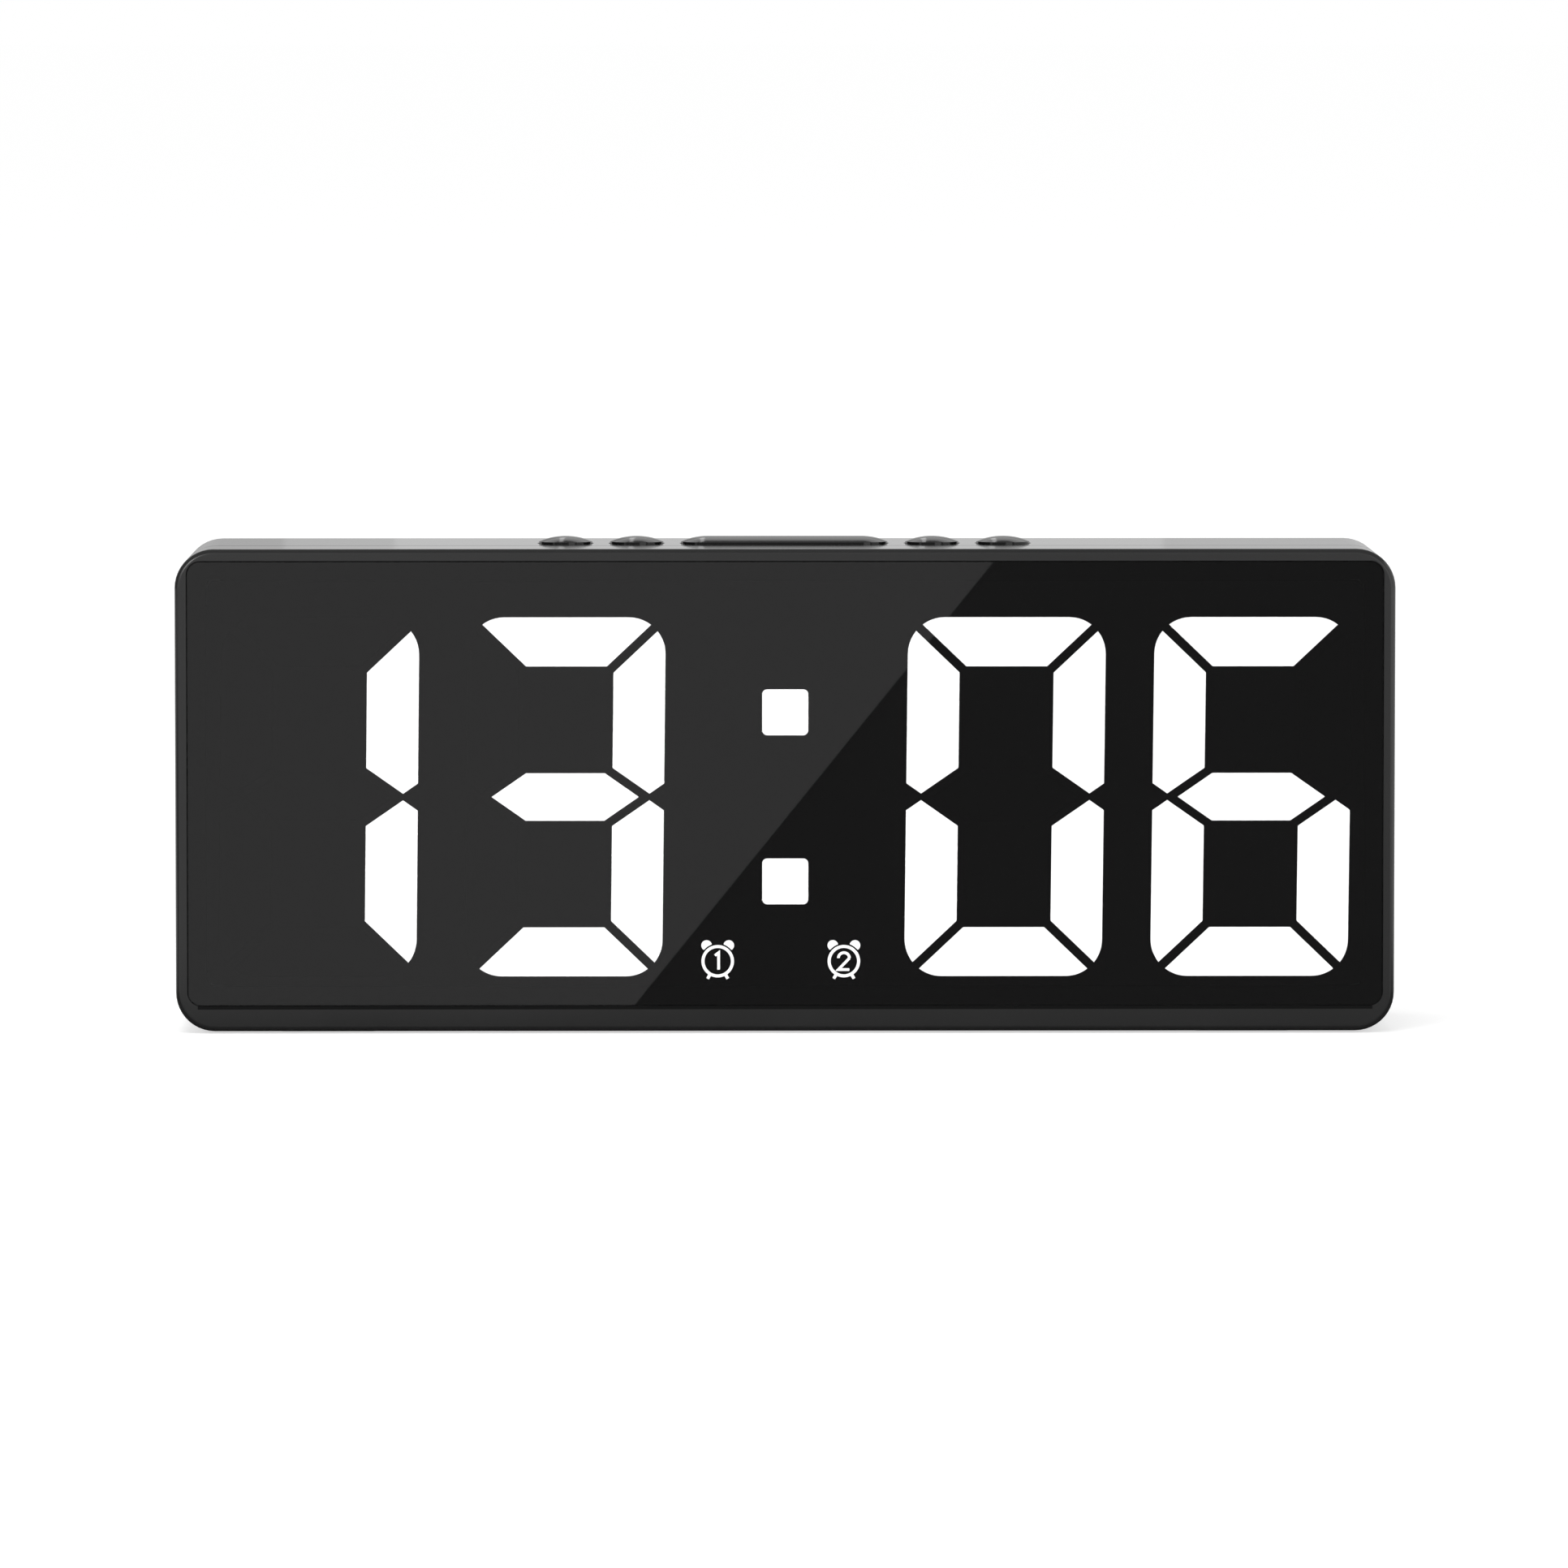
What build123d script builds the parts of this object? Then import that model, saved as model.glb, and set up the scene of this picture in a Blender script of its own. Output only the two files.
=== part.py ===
from build123d import *
import math
import os

# Slim mirror-front digital desk clock, in millimetres. The origin is the centre of the footprint
# on the desk, +X is the width, the display faces -Y and +Z is up.

# Digits, as slanted seven-segment figures
digit_width = 26.8
digit_height = 48.75
digit_slant = 0.63  # degrees
digit_radius = 5.0
side_stroke = 7.05
end_stroke = 6.7
middle_stroke = 6.5
segment_gap = 1.2
waist_gap = 1.14
waist_tip_inset = 2.0
waist_tip_lift = 0.42
waist_angle = 34.8  # degrees

# Places of the digits in the case
digit_space = 6.54
colon_room = 16.38  # from the middle of the display to the nearest digit
side_room = 5.98
room_above = 9.3
room_below = 7.3
colon_side = 6.28
colon_radius = 0.72
colon_pitch = 22.94

# Alarm pictograms: a ring with two bells, two feet and a numeral
alarm_1_x = -9.15
alarm_2_x = 7.95
alarm_height_in_case = 9.38
ring_radius = 2.0
ring_line = 0.42
bell_radius = 0.72
bell_distance = 2.62
bell_angle = 35.0  # degrees from straight up
bell_gap = 0.2
foot_distance = 2.75
foot_angle = 30.0  # degrees from straight down
numeral_width = 1.5
numeral_height = 2.3
numeral_line = 0.38
alarm_channel_width = 5.2
alarm_channel_height = 6.1
alarm_channel_rise = 0.2
alarm_channel_radius = 0.8

# Front stack, from the panel to the back of the main board
panel_side_margin = 1.6
panel_top_margin = 1.65
panel_bottom_margin = 3.45
panel_radius = 1.85
panel_thick = 2.0
panel_clearance = 0.05
panel_bevel = 0.06
tape_thick = 0.2
mask_thick = 0.2
light_box_depth = 6.0
board_thick = 1.6
ledge_width = 2.5
ledge_thick = 1.5
window_radius = 1.0
window_clearance = 0.3
diffuser_thick = 1.8
diffuser_clearance = 0.04

# Case
wall = 2.0
corner_radius = 5.3
front_round = 0.7
back_round = 1.2
seam_bevel = 0.2
recess_bevel = 0.06
lip_clearance = 0.15
lip_thick = 1.0
lip_reach = 1.2
lip_root = 2.5
board_clearance = 0.35
clamp_width = 3.0
clamp_depth = 4.0
clamp_overlap = 1.0

# Foot pads
pad_proud = 0.3
pad_thick = 1.0
pad_length = 14.0
pad_width = 5.0
pad_radius = 1.2
pad_side_inset = 20.5
pad_edge_inset = 6.3
pad_clearance = 0.05

# Case screws and the posts that they join
post_inset = 5.3
post_radius = 2.4
rear_post_radius = 3.4
post_clearance = 0.3
post_floor = 2.5
case_screw_head_radius = 2.2
case_screw_head_height = 1.6
case_screw_radius = 1.15
case_screw_reach = 5.0  # into the front post
case_screw_play = 0.25
screw_bore_play = 0.05
screw_tip_room = 0.5
drive_radius_share = 0.45
drive_depth_share = 0.5

# Keys on the top wall
button_radius = 3.65
button_rim = 0.25  # above the roof, under the crown
button_crown = 0.75
button_clearance = 0.2
button_setback = 17.3  # behind the front face
button_gap = 2.4
snooze_length = 28.2
flange_rim = 0.75
flange_thick = 0.8
flange_gap = 0.1
stem_radius = 1.6
stem_length = 1.0
plunger_radius = 1.6
plunger_show = 1.2
plunger_sunk = 0.9
plunger_clearance = 0.1
switch_side = 6.0
switch_height = 3.5
switch_bore_depth = 1.6
key_board_width = 9.0
key_board_thick = 1.2
key_post_radius = 2.3
key_post_gap = 1.15  # from the outer key's flange
key_board_end = 3.2  # beyond each post's axis

# Battery bay and its cover
component_room = 8.2
bay_floor = 1.5
cell_diameter = 10.5
cell_length = 44.5
cell_nub_radius = 1.9
cell_nub_length = 0.9
cell_edge_round = 0.5
cell_play = 0.25
cell_gap = 0.6
bay_end_play = 0.5
bay_wall = 3.0
bay_height_in_case = 9.5  # from the underside of the case to the bay
spring_length = 3.8
spring_wire_radius = 0.28
spring_base_radius = 3.5
spring_tip_radius = 2.1
spring_turns = 3.5
spring_corners = 8  # in each turn, all rounded
spring_seat = 0.02
plate_thick = 0.3
plate_side = 8.6
dimple_radius = 1.6
dimple_height = 0.7
tab_width = 3.0
tab_reach = 1.0
tab_play = 0.2
cover_thick = 2.2
cover_rim = 1.5
cover_clearance = 0.2
cover_seat_gap = 0.1
hinge_pin_radius = 0.65
hinge_pin_length = 1.5
hinge_clearance = 0.05
hinge_end_play = 0.3
latch_width = 10.0
latch_reach = 2.0
latch_thick = 1.0
latch_clearance = 0.25
finger_radius = 7.0
finger_depth = 0.9
finger_rise = 2.6
grip_count = 4
grip_length = 16.0
grip_width = 1.0
grip_depth = 0.4
grip_pitch = 2.4
grip_drop = 5.0

# Power socket on its small board, and the buzzer
socket_inset = 27.5
socket_height_in_case = 16.0
socket_width = 8.94
socket_tall = 3.26
socket_deep = 6.5
socket_shell = 0.3
socket_tongue_width = 6.7
socket_tongue_thick = 0.7
socket_back_thick = 1.0
socket_hole_play = 0.5
socket_inset_from_back = 0.6
power_board_width = 20.0
power_board_height = 13.0
power_board_thick = 1.2
power_post_radius = 2.2
power_post_x = 7.2
small_screw_radius = 0.85
small_screw_head_radius = 1.7
small_screw_head_height = 1.1
small_screw_reach = 3.2
buzzer_inset = 27.5
buzzer_height_in_case = 16.0
buzzer_radius = 6.0
buzzer_height = 5.5
buzzer_port_radius = 1.0
buzzer_port_depth = 1.5
buzzer_pin_radius = 0.4
buzzer_pin_length = 1.2
buzzer_pin_pitch = 6.5
sound_hole_radius = 0.6
sound_hole_ring = 2.6
sound_hole_count = 6

# What the main board carries
led_width = 3.5
led_tall = 2.8
led_thick = 0.8
led_pitch = 7.0
display_screw_inset = 2.5
display_screw_middle_x = 9.8
display_screw_reach = 4.0
display_screw_head_height = 1.2
display_screw_head_radius = 1.8
display_screw_radius = 0.95
chip_length = 18.0
chip_width = 7.5
chip_thick = 2.3
chip_x = 24.0
chip_rise = 3.0
chip_pin_count = 14
chip_pin_pitch = 1.27
chip_pin_width = 0.42
chip_pin_reach = 1.3
chip_pin_thick = 0.25
chip_standoff = 0.15
crystal_length = 10.5
crystal_width = 3.8
crystal_thick = 3.4
crystal_gap = 1.2
capacitor_radius = 2.5
capacitor_height = 5.4
capacitor_gap = 12.0
capacitor_pitch = 7.0
capacitor_count = 3
resistor_length = 2.0
resistor_width = 1.25
resistor_thick = 0.55
resistor_count = 8
resistor_pitch = 3.0
resistor_x = -36.0
resistor_row = 4.0
resistor_rows = 2
connector_width = 7.4
connector_tall = 4.2
connector_deep = 3.4
connector_height_in_case = 10.7
battery_connector_x = 12.0
buzzer_connector_x = -38.0
power_connector_x = 38.0
ribbon_connector_x = -20.0
ribbon_drop = 4.0  # below the key board

# Leads inside the case
lead_radius = 0.4
lead_pitch = 2.0
lead_clear = 1.1
bend_share = 0.45  # of the shorter run, also in the springs
ribbon_width = 6.0
ribbon_thick = 0.5
ribbon_bend = 1.6

# How far a cutting solid runs past what it cuts
overrun = 1.0

# Overall sizes, worked out from the display and the stack
digit_half = digit_width / 2
inner_digit_x = colon_room + digit_half
outer_digit_x = inner_digit_x + digit_width + digit_space
body_width = 2 * (outer_digit_x + digit_half + side_room)
body_height = room_below + digit_height + room_above
front_depth = panel_thick + tape_thick + mask_thick + light_box_depth + board_thick
cell_room = cell_diameter + 2 * cell_play
rear_depth = component_room + bay_floor + cell_room + cover_seat_gap + cover_thick
body_depth = front_depth + rear_depth

# Stations across the depth, front to back
front_y = -body_depth / 2
ledge_y = front_y + panel_thick + tape_thick
mask_back_y = ledge_y + mask_thick
ledge_back_y = ledge_y + ledge_thick
seam_y = front_y + front_depth
board_y = seam_y - board_thick
back_y = body_depth / 2
inner_back_y = back_y - wall
cover_y = back_y - cover_thick
rim_y = cover_y - cover_seat_gap
bay_floor_y = rim_y - cell_room
bay_front_y = bay_floor_y - bay_floor
cell_y = bay_floor_y + cell_play + cell_diameter / 2

# Heights
bottom_z = pad_proud
top_z = bottom_z + body_height
middle_z = bottom_z + body_height / 2
rim_z = top_z + button_rim
roof_z = top_z - wall
display_z = bottom_z + room_below + digit_height / 2
panel_z = bottom_z + (panel_bottom_margin + body_height - panel_top_margin) / 2
flange_top_z = roof_z - flange_gap
flange_low_z = flange_top_z - flange_thick
stem_low_z = flange_low_z - stem_length
switch_top_z = stem_low_z - plunger_show
key_board_top_z = switch_top_z - switch_height
key_board_low_z = key_board_top_z - key_board_thick

# Keys, from the middle of the roof outwards
button_y = front_y + button_setback
inner_button_x = snooze_length / 2 + button_gap + button_radius
outer_button_x = inner_button_x + 2 * button_radius + button_gap
key_post_x = outer_button_x + button_radius + flange_rim + key_post_gap + key_post_radius

# Battery bay
bay_length = 2 * plate_thick + spring_length + cell_length + dimple_height + bay_end_play
bay_half = bay_length / 2
bay_height = 3 * cell_diameter + 2 * cell_gap + 2 * cell_gap
bay_low_z = bottom_z + bay_height_in_case
bay_high_z = bay_low_z + bay_height
cell_pitch = cell_diameter + cell_gap
top_cell_z = bay_high_z - cell_gap - cell_diameter / 2
cell_heights = [top_cell_z - i * cell_pitch for i in range(3)]
cover_half = bay_half + cover_rim
cover_low_z = bay_low_z - cover_rim
cover_high_z = bay_high_z + cover_rim
hinge_y = back_y - cover_thick / 2
hinge_z = cover_low_z + cover_thick / 2


def facing(y):
    """The plane at one depth, whose normal points to the front."""
    return Plane(origin=(0, y, 0), x_dir=(1, 0, 0), z_dir=(0, -1, 0))


def slab(sketch, y_from, y_to):
    """A sketch drawn in X and Z, as a solid between two depths."""
    return extrude(facing(y_to) * sketch, amount=y_to - y_from)


def column(sketch, z_from, z_to):
    """A sketch drawn in X and Y, as a solid between two heights."""
    return extrude(Pos(0, 0, z_from) * sketch, amount=z_to - z_from)


def block(x_range, y_range, z_range):
    """A box between two planes along each axis."""
    ranges = (x_range, y_range, z_range)
    middle = [(low + high) / 2 for low, high in ranges]
    return Pos(*middle) * Box(*[high - low for low, high in ranges])


def around(middle, size):
    """The range of this size about a middle."""
    return (middle - size / 2, middle + size / 2)


def spot(x, z, radius):
    """A circle in a facing sketch."""
    return Pos(x, z) * Circle(radius)


def group(solids):
    """Separate solids kept side by side in one node."""
    return Compound(children=[solid for part in solids for solid in part.solids()])


def case_outline(inset):
    """The case's rounded outline, brought in all round."""
    width = body_width - 2 * inset
    height = body_height - 2 * inset
    return Pos(0, middle_z) * RectangleRounded(width, height, corner_radius - inset)


def panel_outline(inset, radius):
    """The outline of the panel's recess, brought in all round."""
    width = body_width - 2 * (panel_side_margin + inset)
    height = body_height - panel_top_margin - panel_bottom_margin - 2 * inset
    return Pos(0, panel_z) * RectangleRounded(width, height, radius)


def window_outline(inset):
    """The opening behind the panel, inside the ledge that the panel is taped to."""
    return panel_outline(ledge_width + inset, window_radius)


def post_outline(radius, reach):
    """The four corner posts as seen from the front, each run out into its corner."""
    posts = []
    for side in (-1, 1):
        for low in (True, False):
            x = side * (body_width / 2 - post_inset)
            z = bottom_z + post_inset if low else top_z - post_inset
            x_far = x + side * reach
            z_far = z - reach if low else z + reach
            corner = Pos((x + x_far) / 2, (z + z_far) / 2) * Rectangle(reach, reach)
            x_arm = Pos((x + x_far) / 2, z) * Rectangle(reach, 2 * radius)
            z_arm = Pos(x, (z + z_far) / 2) * Rectangle(2 * radius, reach)
            posts.append(spot(x, z, radius) + corner + x_arm + z_arm)
    return posts


def post_axes():
    """Where the four case screws run, as X and Z."""
    x = body_width / 2 - post_inset
    return [(sx * x, z) for sx in (-1, 1) for z in (bottom_z + post_inset, top_z - post_inset)]


def slanted(x, z):
    """A point of a digit, leaned over with it."""
    return (x + z * math.tan(math.radians(digit_slant)), z)


def digit_field():
    """The whole outline of a digit, with its rounded corners."""
    half = digit_height / 2
    corners = [(-digit_half, -half), (digit_half, -half), (digit_half, half), (-digit_half, half)]
    field = make_face(Polyline([slanted(*c) for c in corners], close=True))
    return fillet(field.vertices(), digit_radius)


def end_bar():
    """Points of the top bar, whose ends run along the mitres between the bars."""
    mitre = math.hypot(side_stroke, end_stroke)
    shift = segment_gap / 2 * mitre / end_stroke
    high = digit_height / 2
    low = high - end_stroke
    outer = digit_half - shift
    inner = digit_half - side_stroke - shift
    return [(-outer, high), (outer, high), (inner, low), (-inner, low)]


def side_bar():
    """Points of the upper right bar, pointed at the waist."""
    mitre = math.hypot(side_stroke, end_stroke)
    shift = segment_gap / 2 * mitre / side_stroke
    high = digit_height / 2 - shift
    slope = math.tan(math.radians(waist_angle))
    inner_x = digit_half - side_stroke
    inner_z = waist_tip_lift + (side_stroke - waist_tip_inset) * slope
    outer_z = waist_tip_lift + waist_tip_inset * slope
    tip = (digit_half - waist_tip_inset, waist_tip_lift)
    outer = [(digit_half, high), (digit_half, outer_z)]
    return outer + [tip, (inner_x, inner_z), (inner_x, high - end_stroke)]


def middle_bar():
    """Points of the hexagon across the waist."""
    angle = math.radians(waist_angle)
    side_line_inset = waist_tip_inset - waist_tip_lift / math.tan(angle)
    tip = digit_half - side_line_inset - waist_gap / math.sin(angle)
    half = middle_stroke / 2
    shoulder = tip - half / math.tan(angle)
    upper = [(-tip, 0), (-shoulder, half), (shoulder, half), (tip, 0)]
    return upper + [(shoulder, -half), (-shoulder, -half)]


def segment_points():
    """The seven bars by letter, as points about the digit's middle."""
    top, right, middle = end_bar(), side_bar(), middle_bar()
    return {
        "a": top,
        "b": right,
        "c": [(x, -z) for x, z in right],
        "d": [(x, -z) for x, z in top],
        "e": [(-x, -z) for x, z in right],
        "f": [(-x, z) for x, z in right],
        "g": middle,
    }


def segment_faces():
    """The seven bars by letter, as sketches about the digit's middle."""
    field = digit_field()
    faces = {}
    for letter, points in segment_points().items():
        bar = make_face(Polyline([slanted(*p) for p in points], close=True))
        faces[letter] = bar & field
    return faces


segments = segment_faces()

# Each place of the display, with its X and the bars that are lit when it shows 13:06
digit_places = {
    "hours_tens": (-outer_digit_x, "bc"),
    "hours_units": (-inner_digit_x, "abcdg"),
    "minutes_tens": (inner_digit_x, "abcdef"),
    "minutes_units": (outer_digit_x, "acdefg"),
}


def colon_faces():
    """The two squares between the hours and the minutes."""
    square = RectangleRounded(colon_side, colon_side, colon_radius)
    return [Pos(0, display_z + s * colon_pitch / 2) * square for s in (-1, 1)]


def alarm_places():
    """Where the two pictograms stand, as X and Z."""
    z = bottom_z + alarm_height_in_case
    return [(alarm_1_x, z), (alarm_2_x, z)]


def numeral(figure):
    """A plain 1 or 2 as a stroke, about its own middle."""
    w = numeral_width / 2
    h = numeral_height / 2
    if figure == 1:
        path = Polyline([(-w / 2, h - w / 2), (w / 6, h), (w / 6, -h)])
        return trace(path, numeral_line)
    top = ThreePointArc((-w, h - w), (0, h), (w, h - w))
    tail = Polyline([(w, h - w), (-w, -h), (w, -h)])
    return trace(top, numeral_line) + trace(tail, numeral_line)


def pictogram(figure):
    """An alarm clock with two bells and two feet, about the middle of its ring."""
    outer = ring_radius + ring_line / 2
    shape = Circle(outer) - Circle(ring_radius - ring_line / 2)
    for side in (-1, 1):
        angle = math.radians(bell_angle)
        bell_x = side * bell_distance * math.sin(angle)
        bell_z = bell_distance * math.cos(angle)
        shape += Pos(bell_x, bell_z) * Circle(bell_radius) - Circle(outer + bell_gap)
        angle = math.radians(foot_angle)
        toe = (side * foot_distance * math.sin(angle), -foot_distance * math.cos(angle))
        heel = (side * ring_radius * math.sin(angle), -ring_radius * math.cos(angle))
        shape += trace(Line(heel, toe), ring_line)
    return shape + numeral(figure)


def alarm_channels():
    """The light channels behind the two pictograms."""
    outline = RectangleRounded(alarm_channel_width, alarm_channel_height, alarm_channel_radius)
    return [Pos(x, z + alarm_channel_rise) * outline for x, z in alarm_places()]


def display_faces():
    """Every opening of the light box in place: the bars, the colon and the alarm channels."""
    faces = []
    for x, _ in digit_places.values():
        faces += [Pos(x, display_z) * face for face in segments.values()]
    return faces + colon_faces() + alarm_channels()


def front_housing():
    """The bezel moulding: recess for the panel, ledge behind it, four screw posts, pad seats."""
    shell = slab(case_outline(0), front_y, seam_y)
    shell = fillet(shell.faces().sort_by(Axis.Y)[0].edges(), front_round)
    shell = chamfer(shell.faces().sort_by(Axis.Y)[-1].edges(), seam_bevel)
    shell -= slab(panel_outline(0, panel_radius), front_y - overrun, ledge_y)
    rim = shell.faces().sort_by(Axis.Y)[0]
    shell = chamfer(rim.inner_wires()[0].edges(), recess_bevel)
    shell -= slab(window_outline(0), ledge_y - overrun, ledge_back_y + overrun)
    pocket = slab(case_outline(wall), ledge_back_y, seam_y + overrun)
    for post in post_outline(post_radius, post_inset):
        pocket -= slab(post, ledge_back_y - overrun, seam_y)
    shell -= pocket
    pilot_end = seam_y - case_screw_reach - screw_tip_room
    for x, z in post_axes():
        bore = case_screw_radius + screw_bore_play
        shell -= slab(spot(x, z, bore), pilot_end, seam_y + overrun)
    for seat in pad_seats(front_y + pad_edge_inset):
        shell -= seat
    return shell


def pad_solid(x, y, clearance):
    """One foot pad about its place, or with a clearance the seat that it is stuck in."""
    length = pad_length + 2 * clearance
    width = pad_width + 2 * clearance
    outline = Pos(x, y) * RectangleRounded(length, width, pad_radius + clearance)
    low = 0 if clearance == 0 else -overrun
    return column(outline, low, pad_thick)


def pad_seats(y):
    """The two seats under the case at one depth."""
    x = body_width / 2 - pad_side_inset
    return [pad_solid(side * x, y, pad_clearance) for side in (-1, 1)]


def foot_pads():
    """Four flat rubber pads, which stand a little proud of the case."""
    x = body_width / 2 - pad_side_inset
    y = body_depth / 2 - pad_edge_inset
    return group([pad_solid(sx * x, sy * y, 0) for sx in (-1, 1) for sy in (-1, 1)])


def front_panel():
    """The see-through acrylic front."""
    outline = panel_outline(panel_clearance, panel_radius - panel_clearance)
    panel = slab(outline, front_y, front_y + panel_thick)
    return chamfer(panel.faces().sort_by(Axis.Y)[0].edges(), panel_bevel)


def panel_tape():
    """The double-sided tape between the panel and its ledge."""
    outline = panel_outline(panel_clearance, panel_radius - panel_clearance)
    return slab(outline - window_outline(0), front_y + panel_thick, ledge_y)


def display_mask():
    """The black film, open where a bar, a dot or a pictogram shows."""
    film = slab(window_outline(window_clearance), ledge_y, mask_back_y)
    cuts = display_faces()[: -len(alarm_places())]
    cuts += [Pos(x, z) * pictogram(i + 1) for i, (x, z) in enumerate(alarm_places())]
    for cut in cuts:
        film -= slab(cut, ledge_y - overrun, mask_back_y + overrun)
    return group([film])


def board_outline():
    """The outline that the light box and the main board share, clear of the screw posts."""
    inset = wall + lip_clearance + lip_thick + board_clearance
    outline = case_outline(inset)
    for post in post_outline(post_radius + post_clearance, post_inset):
        outline -= post
    return outline


def display_screw_axes():
    """Where the main board is screwed to the light box, as X and Z."""
    between = (inner_digit_x + outer_digit_x) / 2
    high = digit_height / 2 - display_screw_inset
    axes = [(sx * between, display_z + sz * high) for sx in (-1, 1) for sz in (-1, 1)]
    return axes + [(side * display_screw_middle_x, display_z) for side in (-1, 1)]


def light_box():
    """The moulding with one light channel for each bar, dot and pictogram."""
    box = slab(window_outline(window_clearance), mask_back_y, ledge_back_y + overrun)
    box += slab(board_outline(), ledge_back_y, board_y)
    for face in display_faces():
        box -= slab(face, mask_back_y - overrun, board_y + overrun)
    for x, z in display_screw_axes():
        bore = display_screw_radius + screw_bore_play
        depth = board_y - display_screw_reach - screw_tip_room
        box -= slab(spot(x, z, bore), depth, board_y + overrun)
    return box


def diffuser(face):
    """A translucent insert that fills the front of one light channel."""
    inner = offset(face, amount=-diffuser_clearance)
    return slab(inner, mask_back_y, mask_back_y + diffuser_thick)


def digit_diffusers(x, letters):
    """The inserts of some of a digit's bars."""
    return group([diffuser(Pos(x, display_z) * segments[letter]) for letter in letters])


def main_board():
    """The board that closes the light box from behind."""
    board = slab(board_outline(), board_y, seam_y)
    for x, z in display_screw_axes():
        hole = spot(x, z, display_screw_radius + case_screw_play)
        board -= slab(hole, board_y - overrun, seam_y + overrun)
    return board


def led_spots():
    """Two lamps behind each bar, one behind each dot and pictogram, as X and Z."""
    high = digit_height / 2
    waist = middle_stroke / 2
    bar_x = digit_half - side_stroke / 2
    bar_z = (high - end_stroke + waist) / 2
    end_z = high - end_stroke / 2
    half = led_pitch / 2
    spots = []
    for x, _ in digit_places.values():
        local = [(s * half, z) for s in (-1, 1) for z in (-end_z, 0, end_z)]
        local += [
            (sx * bar_x, sz * bar_z + s * half)
            for sx in (-1, 1)
            for sz in (-1, 1)
            for s in (-1, 1)
        ]
        spots += [(x + px, display_z + pz) for px, pz in local]
    spots += [(0, display_z + s * colon_pitch / 2) for s in (-1, 1)]
    return spots + alarm_places()


def segment_leds():
    """The lamps on the front of the main board."""
    lamp = Rectangle(led_width, led_tall)
    return group([slab(Pos(x, z) * lamp, board_y - led_thick, board_y) for x, z in led_spots()])


def screw(x, z, radius, head_radius, head_height, head_y, tip_y):
    """A pan-head screw along Y with a cross recess, its head seated at head_y and its tip at tip_y."""
    away = 1 if head_y > tip_y else -1
    top_y = head_y + away * head_height
    low, high = sorted((tip_y, head_y))
    shank = slab(spot(x, z, radius), low, high)
    low, high = sorted((head_y, top_y))
    head = slab(spot(x, z, head_radius), low, high)
    top = head.faces().sort_by(Axis.Y)[-1 if away > 0 else 0]
    head = chamfer(top.edges(), head_height / 4)
    reach = head_radius * drive_radius_share
    slot = reach / 3
    cross = Rectangle(2 * reach, slot) + Rectangle(slot, 2 * reach)
    low, high = sorted((top_y + away * overrun, top_y - away * head_height * drive_depth_share))
    return head + shank - slab(Pos(x, z) * cross, low, high)


def case_screws():
    """The four long-reach screws, deep in the rear posts."""
    head_y = seam_y + post_floor
    tip_y = seam_y - case_screw_reach
    size = (case_screw_radius, case_screw_head_radius, case_screw_head_height)
    return group([screw(x, z, *size, head_y, tip_y) for x, z in post_axes()])


def display_screws():
    """The six screws that hold the main board to the light box."""
    size = (display_screw_radius, display_screw_head_radius, display_screw_head_height)
    tip_y = board_y - display_screw_reach
    return group([screw(x, z, *size, seam_y, tip_y) for x, z in display_screw_axes()])


def clock_chip():
    """The clock's controller with its two rows of legs."""
    z = display_z + chip_rise
    near = seam_y + chip_standoff
    chip = block(around(chip_x, chip_length), (near, near + chip_thick), around(z, chip_width))
    row = (chip_pin_count - 1) * chip_pin_pitch / 2
    for side in (-1, 1):
        root = z + side * (chip_width / 2 - chip_pin_thick)
        toe = z + side * (chip_width / 2 + chip_pin_reach)
        knee = z + side * (chip_width / 2 + chip_pin_thick)
        for i in range(chip_pin_count):
            x_range = around(chip_x - row + i * chip_pin_pitch, chip_pin_width)
            mid = near + chip_thick / 2
            chip += block(x_range, (mid, mid + chip_pin_thick), sorted((root, knee)))
            drop = sorted((knee, knee - side * chip_pin_thick))
            chip += block(x_range, (seam_y, mid + chip_pin_thick), drop)
            foot = sorted((knee - side * chip_pin_thick, toe))
            chip += block(x_range, (seam_y, seam_y + chip_pin_thick), foot)
    return chip


def crystal_x():
    """The crystal stands beside the chip."""
    return chip_x + (chip_length + crystal_length) / 2 + crystal_gap


def timing_crystal():
    """The crystal in its can."""
    z = display_z + chip_rise
    can = Pos(crystal_x(), z) * SlotOverall(crystal_length, crystal_width)
    solid = slab(can, seam_y, seam_y + crystal_thick)
    return fillet(solid.faces().sort_by(Axis.Y)[-1].edges(), crystal_width / 10)


def board_capacitors():
    """The electrolytic cans in a row."""
    x = crystal_x() + crystal_length / 2 + capacitor_gap
    cans = []
    for i in range(capacitor_count):
        z = display_z + (i - (capacitor_count - 1) / 2) * capacitor_pitch
        can = slab(spot(x, z, capacitor_radius), seam_y, seam_y + capacitor_height)
        cans.append(fillet(can.faces().sort_by(Axis.Y)[-1].edges(), capacitor_radius / 8))
    return group(cans)


def board_resistors():
    """Two rows of small resistors."""
    parts = []
    for row in range(resistor_rows):
        z = display_z + (row - (resistor_rows - 1) / 2) * resistor_row
        for i in range(resistor_count):
            x = resistor_x + (i - (resistor_count - 1) / 2) * resistor_pitch
            body = Pos(x, z) * Rectangle(resistor_width, resistor_length)
            parts.append(slab(body, seam_y, seam_y + resistor_thick))
    return group(parts)


def connector_places():
    """The plugs on the back of the main board, by lead, as X and Z."""
    low = bottom_z + connector_height_in_case
    return {
        "battery": (battery_connector_x, low),
        "buzzer": (buzzer_connector_x, low),
        "power": (power_connector_x, low),
        "ribbon": (ribbon_connector_x, key_board_low_z - ribbon_drop),
    }


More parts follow.
